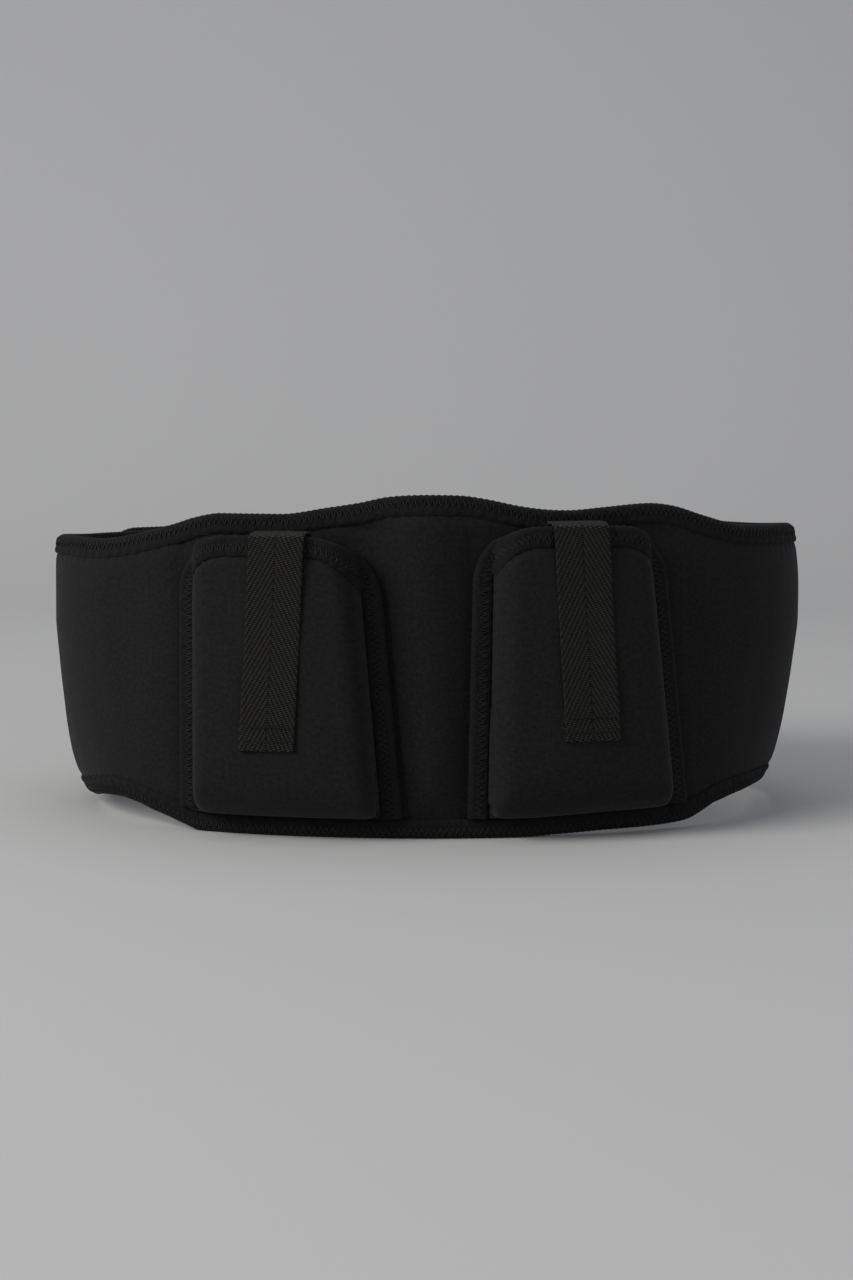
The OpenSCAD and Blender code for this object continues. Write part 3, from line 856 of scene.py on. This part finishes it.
def pocket(p):
    """Pocket panel pushed out by its pack, its bound edge and zigzag stitches."""
    width = p.right_top - p.left_top
    edge_u = np.concatenate([np.linspace(0, 7.9, 10), 8.2 + 9 * np.linspace(0, 1, 20) ** 1.6,
                             np.linspace(20, 24, 3)]) / width
    u = np.concatenate([edge_u, np.linspace(edge_u[-1], 1 - edge_u[-1], 34)[1:-1],
                        1 - edge_u[::-1]])[:, None]
    v = np.concatenate([0.12 * np.linspace(0, 1, 22) ** 1.6, np.linspace(0.12, 0.86, 48)[1:-1],
                        np.linspace(0.86, 1, 22)])[None, :]
    z = mix(pocket_foot(mix(p.left_foot, p.right_foot, u)),
            pocket_top(p, mix(p.left_top, p.right_top, u)) - 0.4, v)
    x = mix(pocket_left(p, z) + 0.4, pocket_right(p, z) - 0.4, u)
    inside = pocket_inside(p, x, z)
    full = ease((inside - 6.8) / 4.6)
    half_t = mix(POCKET_T / 2 - 0.35, POCKET_T / 2 + 1.6, full)
    crown = 1.3 * ease((inside - 8) / 32) * ease((z - 14) / 40)
    ripple = 0.45 * waves(x, z, 60, 31) * ease((inside - 9) / 14)
    tuck = 0.22 * np.sin((x + z) * math.tau / 6.3) * np.exp(-((inside - 8.5) / 2.6) ** 2)
    front = pocket_point(p, x, z, half_t + crown * 0.5 + ripple + tuck)
    back = pocket_point(p, x, z, -(POCKET_T / 2 - 0.35) + ripple * 0.5)
    panel = slab_piece(p.name + "_pocket", front, back, (x, z), NEOPRENE, "neoprene")

    def corner(across, low):
        z = p.top - low
        return np.stack([mix(pocket_left(p, z), pocket_right(p, z), across / width), z], -1)

    left_z, right_z = p.top - p.left_r, p.top - p.right_r
    up_z = np.linspace(pocket_foot(p.left_foot), left_z, 60)
    down_z = np.linspace(right_z, pocket_foot(p.right_foot), 60)
    turn = np.radians(np.linspace(180, 90, 24))
    left_arc = corner(p.left_r * (1 + np.cos(turn)), p.left_r * (1 - np.sin(turn)))
    right_arc = corner(width - p.right_r * (1 + np.cos(turn)),
                       p.right_r * (1 - np.sin(turn)))[::-1]
    path = np.concatenate([np.stack([pocket_left(p, up_z), up_z], -1), left_arc, right_arc,
                           np.stack([pocket_right(p, down_z), down_z], -1)])

    def place(a, b, n):
        return pocket_point(p, a, b, n)

    edge = Edge(path, place, POCKET_T / 2, STITCH / 4, ups=3.9)
    strip = binding(p.name + "_pocket_edge_binding", edge)
    sewn = threads(p.name + "_pocket_stitches",
                   [zigzag(edge, middle=-3.9, reach=3.4, face=1)], THREAD_R)
    return panel, strip, sewn


# ---- Weight packs ----

def pack_sides(p, inset):
    """Left and right edge of a pack, drawn in by an inset."""
    off = MOUTH_INSET + POCKET_SEAM + 0.25 * POCKET_RISE
    return p.left_top + off + inset, p.right_top - off - inset


def pack_block(p, inset, flange, rounding, half_t, wrinkle):
    """Front and back grids of a pillow shape that fits the pocket, and its places."""
    left, right = pack_sides(p, inset)
    low, high = PACK_Z + inset, PACK_Z + PACK_H - inset
    r = PACK_CORNER_R - inset
    v = np.concatenate([np.linspace(0, 0.12, 18), np.linspace(0.12, 0.88, 40)[1:-1],
                        np.linspace(0.88, 1, 18)])[None, :]
    u = np.concatenate([np.linspace(0, 0.16, 16), np.linspace(0.16, 0.84, 30)[1:-1],
                        np.linspace(0.84, 1, 16)])[:, None]
    z = np.broadcast_to(mix(low, high, v), (u.shape[0], v.shape[1]))
    pull = corner_drop(np.minimum(z - low, high - z), r)
    x = mix(left + pull, right - pull, u)
    side, end = np.minimum(x - left, right - x), np.minimum(z - low, high - z)
    inside = np.minimum(side, end)
    corner = (side < r) & (end < r)
    inside = np.where(corner, r - np.hypot(r - side, r - end), inside)
    rise = clamp01((inside - flange) / rounding)
    thick = 0.5 + (half_t - 0.5) * np.sqrt(1 - (1 - rise) ** 2)
    folds = wrinkle * waves(x, z, 16, 41) * np.exp(-((inside - 9) / 6) ** 2)
    middle = POUCH_N + PACK_T / 2
    front = front_point(x, z, middle + thick + folds)
    back = front_point(x, z, middle - thick)
    return front, back, (x, z)


def weight_pack(p):
    """Sewn nylon pouch with a stitched flange, and the lead block inside it."""
    front, back, weave = pack_block(p, inset=0.3, flange=2.6, rounding=6.0,
                                    half_t=PACK_T / 2 - 0.3, wrinkle=0.3)
    pouch = slab_piece(p.name + "_pouch", front, back, weave, POUCH, "pouch")
    front, back, weave = pack_block(p, inset=3.2, flange=0, rounding=5.0,
                                    half_t=PACK_T / 2 - 1.5, wrinkle=0)
    block = slab_piece(p.name + "_lead_block", front, back, weave, LEAD, "lead")
    seam_inset = 1.9
    left, right = pack_sides(p, seam_inset)
    low, high, r = PACK_Z + seam_inset, PACK_Z + PACK_H - seam_inset, PACK_SEAM_R
    ring = []
    for cx, cz, first in ((right - r, high - r, 0), (left + r, high - r, 90),
                          (left + r, low + r, 180), (right - r, low + r, 270)):
        turn = np.radians(np.linspace(first, first + 90, 10))
        ring.append(np.stack([cx + r * np.cos(turn), cz + r * np.sin(turn)], -1))
    ring = np.concatenate(ring + [ring[0][:1]])
    run = run_along(ring)
    even = np.arange(0, run[-1], 1.25)
    rx, rz = (np.interp(even, run, ring[:, k]) for k in (0, 1))
    bob = 0.14 * np.cos(np.arange(len(even)) * math.pi)
    lines = []
    for face in (1, -1):
        line = front_point(rx, rz, POUCH_N + PACK_T / 2 + face * (0.52 + bob))
        up = face * (front_point(rx, rz, 20.0) - front_point(rx, rz, 19.0))
        lines.append((line, up))
    seam = threads(p.name + "_pouch_stitches", lines, SEAM_THREAD_R)
    return pouch, block, seam


# ---- Pull tabs ----

def tape_frame(p):
    """Where the tape folds: its middle in plan, and the two directions there."""
    t = angle_at(p.tape_x)
    near, far = np.array(loop_point(t, 0)), np.array(loop_point(t, 1))
    out = far - near
    along = np.array([-out[1], out[0]])
    return near + np.array(SHIFT), out, along


def tape_point(p, across, n, z):
    """Point at across along the fold, n in front of the belt and height z."""
    middle, out, along = tape_frame(p)
    across, n, z = np.broadcast_arrays(across, n, z)
    xy = middle + out * n[..., None] + along * across[..., None]
    return np.concatenate([xy, z[..., None]], -1)


def smooth_path(corners, radius):
    """Points along a path with rounded corners, in (n, z), evenly spaced."""
    corners = np.array(corners, float)
    points = [corners[0]]
    for k in range(1, len(corners) - 1):
        before, here, after = corners[k - 1:k + 2]
        d1 = (before - here) / np.linalg.norm(before - here)
        d2 = (after - here) / np.linalg.norm(after - here)
        bend = math.acos(float(np.clip(d1 @ d2, -1, 1)))
        size = min(radius / math.tan(bend / 2), 0.49 * np.linalg.norm(before - here),
                   0.49 * np.linalg.norm(after - here))
        for f in np.linspace(0, 1, 14):
            points.append((1 - f) ** 2 * (here + d1 * size) + 2 * f * (1 - f) * here
                          + f * f * (here + d2 * size))
    points = np.array(points + [corners[-1]])
    run = run_along(points)
    keep = np.concatenate([[True], np.diff(run) > 1e-6])
    even = np.linspace(0, run[-1], int(run[-1] / TAPE_STEP) + 1)
    return np.stack([np.interp(even, run[keep], points[keep, k]) for k in (0, 1)], -1), even


def ribbon(name, p, path, run, sideways, edge_wave):
    """A length of tape: path is its middle in (n, z), sideways its shift across."""
    v = np.linspace(-1, 1, 34)[None, :]
    d = unit(np.gradient(path, axis=0))
    face = np.stack([-d[:, 1], d[:, 0]], -1)
    knob = 0.14 * np.sin(run * math.tau / 1.42)[:, None] + edge_wave[:, None]
    half_w = TAPE_W / 2 + knob * 0.6
    across = sideways[:, None] + v * half_w
    edge = 1 - np.abs(v)
    half_t = (TAPE_T / 2) * (0.62 + 0.38 * ease(edge / 0.05)) \
        + 0.16 * np.exp(-((np.abs(v) - 0.955) / 0.03) ** 2)
    sag = 0.35 * waves(run[:, None], v * 12, 30, 51) * np.ones_like(across)
    layers = []
    for side in (1, -1):
        off = side * half_t + sag
        layers.append(tape_point(p, across, path[:, :1] + face[:, :1] * off,
                                 path[:, 1:] + face[:, 1:] * off))
    return slab_piece(name, *layers, (v * TAPE_W / 2, -run[:, None]), WEBBING, "webbing")


def cross_stitches(p, n, z, middle, width, height, pitch):
    """A bar of close zigzag stitches across a tape."""
    legs = int(width / pitch * 2)
    f = np.linspace(0, legs, legs * 3 + 1)
    swing = np.abs((f % 2) - 1)
    within = f - np.floor(f)
    across = middle + (f / legs - 0.5) * width
    line = tape_point(p, across, n + 0.20 * np.sin(within * math.pi), z + height * (swing - 0.5))
    up = tape_point(p, across, n + 1, z) - tape_point(p, across, n, z)
    return line, up


def pull_tab(p):
    """Tape that leaves the pack, turns over the pocket's mouth and hangs in front."""
    fold_z = p.top + FOLD_H
    stem_n = POUCH_N + PACK_T - 4
    pack_top = PACK_Z + PACK_H
    seat_n = POUCH_N + PACK_T / 2
    path, run = smooth_path([(seat_n + 0.9, pack_top - 2.2), (seat_n + 1.0, pack_top + 3),
                             (stem_n, fold_z - 5), (stem_n, fold_z - 1.5)], radius=6)
    anchor = ribbon(p.name + "_anchor_tape", p, path, run, 0 * run, 0 * run)
    anchor_len = run[-1]
    end_z = fold_z - TAB_LEN
    front = FOLD_N
    path, run = smooth_path([(stem_n, fold_z - 1.5), (stem_n, fold_z + 0.15),
                             (front - 4, fold_z + 0.1), (front + 0.15, fold_z - 1.3),
                             (front - 0.5, fold_z - 30), (front - 0.7, end_z + 45),
                             (front - 0.1, end_z + 14), (front + 0.1, end_z),
                             (front - 1.25, end_z + 0.1), (front - 1.3, end_z + 5),
                             (front - 1.3, end_z + HEM_LEN)], radius=0.62)
    drop = np.maximum(0, fold_z - path[:, 1])
    back_layer = ease((run - (run[-1] - HEM_LEN - 1.2)) / 1.5)
    hanging = path[:, 0] > front - 3
    slant = math.tan(math.radians(p.tape_lean))
    sideways = np.where(hanging, -drop * slant, 0) - 0.9 * back_layer
    edge_wave = 0.25 * waves(run, 0, 26, 61)
    tab = ribbon(p.name + "_pull_tape", p, path, run, sideways, edge_wave)
    bars = []
    for above in (4.2, 10.6):
        z = end_z + above
        middle = -(fold_z - z) * slant
        bars.append(cross_stitches(p, front + 0.62, z, middle, width=20, height=1.1, pitch=1.5))
    tack = threads(p.name + "_tab_stitches", bars, TAPE_THREAD_R)
    bars = [cross_stitches(p, seat_n + 1.62, pack_top - 0.9, 0, width=21, height=1.8, pitch=1.6)]
    bar = threads(p.name + "_anchor_stitches", bars, TAPE_THREAD_R)
    middle, out, _ = tape_frame(p)
    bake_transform(tab)
    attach(tack, p.name + "_tab")
    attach(anchor, p.name + "_pack")
    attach(bar, p.name + "_pack")
    return tab, tack, anchor, bar, run[-1], anchor_len


# ---- Camera, room and light ----

def make_camera():
    """Camera in front, a little above the belt and tilted down."""
    data = bpy.data.cameras.new("camera")
    data.lens = CAMERA_LENS
    data.sensor_width = 36
    camera = add_object("camera", data)
    camera.location = (SHIFT[0] * MM, (SHIFT[1] - CAMERA_DISTANCE) * MM, CAMERA_HEIGHT)
    camera.rotation_euler = (math.radians(90 - CAMERA_TILT), 0, 0)
    bpy.context.scene.camera = camera


def make_room():
    """Pale floor that curves up into the backdrop."""
    radius, back, front, height, half = 1.3, 1.1, -2.6, 4.2, 5.0
    turn = np.linspace(-math.pi / 2, 0, 24)
    profile = ([(front, 0.0)] + [(back + radius * math.cos(a), radius + radius * math.sin(a))
                                 for a in turn] + [(back + radius, height)])
    points = [(side * half, y, z) for side in (-1, 1) for y, z in profile]
    count = len(profile)
    faces = [(k, k + count, k + count + 1, k + 1) for k in range(count - 1)]
    mesh = bpy.data.meshes.new("room")
    mesh.from_pydata(points, [], faces)
    mesh.polygons.foreach_set("use_smooth", [True] * len(faces))
    paper = bpy.data.materials.new("paper")
    paper.use_nodes = True
    tree = paper.node_tree
    new, link = tree.nodes.new, tree.links.new
    shader = tree.nodes["Principled BSDF"]
    where = new("ShaderNodeNewGeometry")
    split = new("ShaderNodeSeparateXYZ")
    rise = new("ShaderNodeMapRange")
    rise.inputs["From Max"].default_value = 1.4
    # Painted shade: the paper is coloured darker and cooler from the floor up the backdrop,
    # standing in for the light falling off.
    tone = new("ShaderNodeValToRGB")
    tone.color_ramp.elements[0].color = (0.495, 0.492, 0.475, 1)
    tone.color_ramp.elements[1].color = (0.435, 0.436, 0.450, 1)
    link(where.outputs["Position"], split.inputs[0])
    link(split.outputs["Z"], rise.inputs["Value"])
    link(rise.outputs[0], tone.inputs[0])
    link(tone.outputs[0], shader.inputs["Base Color"])
    shader.inputs["Roughness"].default_value = 0.9
    mesh.materials.append(paper)
    room = add_object("room", mesh)


def area_light(name, place, aim, size, power, colour):
    """Rectangular light turned to its aim, with its power in watts."""
    data = bpy.data.lights.new(name, "AREA")
    data.shape = "RECTANGLE"
    data.size, data.size_y = size
    data.energy = power
    data.color = colour
    light = add_object(name, data)
    light.location = place
    toward = np.subtract(aim, place)
    flat = math.hypot(*toward[:2])
    light.rotation_euler = (math.pi / 2 + math.atan2(toward[2], flat), 0,
                            math.atan2(toward[1], toward[0]) - math.pi / 2)


def make_light():
    world = bpy.data.worlds.new("studio")
    world.use_nodes = True
    sky = world.node_tree.nodes["Background"].inputs
    sky["Color"].default_value = (0.86, 0.89, 1.0, 1)
    sky["Strength"].default_value = 0.35
    bpy.context.scene.world = world
    area_light("key", (-2.3, -1.5, 1.7), (0, 0, 0.05), (1.6, 1.6), 78, (1.0, 0.985, 0.965))
    area_light("fill", (1.9, -2.2, 0.9), (0, 0, 0.05), (1.4, 1.0), 11, (0.93, 0.95, 1.0))
    area_light("top", (0.0, 0.6, 2.9), (0, 0.5, 0), (2.6, 2.6), 14, (0.97, 0.98, 1.0))
    bpy.context.scene.view_settings.view_transform = "Standard"


# ---- Assembly ----

make_camera()

for half in (LEFT, RIGHT):
    start_t = float(angle_at(half.side * SPLIT_X))
    panel, strip, sewn = belt_half(half, start_t)
    for made in (panel, strip, sewn):
        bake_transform(made)
    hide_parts(half.name + "_wing_panel")
    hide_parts(half.name + "_wing_binding")
    if half is RIGHT:
        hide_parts("main_panel")
        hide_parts("top_binding", "bottom_binding")

for kind, half, start_t, face, material in (("hook", LEFT, 96, 1, HOOK),
                                            ("loop", RIGHT, 30, -1, LOOP)):
    made, sewn = patch(kind, half, start_t, face, material)
    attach(made, half.body)
    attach(sewn, half.body)
    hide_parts(kind + "_patch")

for p in POCKETS:
    panel, strip, sewn = pocket(p)
    for made in (panel, strip, sewn):
        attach(made, "belt")
    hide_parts(p.name + "_pocket_panel")
    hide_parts(p.name + "_pocket_binding")
    pouch, block, seam = weight_pack(p)
    for made in (pouch, block, seam):
        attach(made, p.name + "_pack")
    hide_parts(p.name + "_pouch_back", p.name + "_pouch_front")
    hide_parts(p.name + "_lead_weight")
    tab, tack, anchor, bar, tab_len, anchor_len = pull_tab(p)
    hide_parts(p.name + "_pull_tab")
    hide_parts(p.name + "_pull_anchor")

make_room()
make_light()
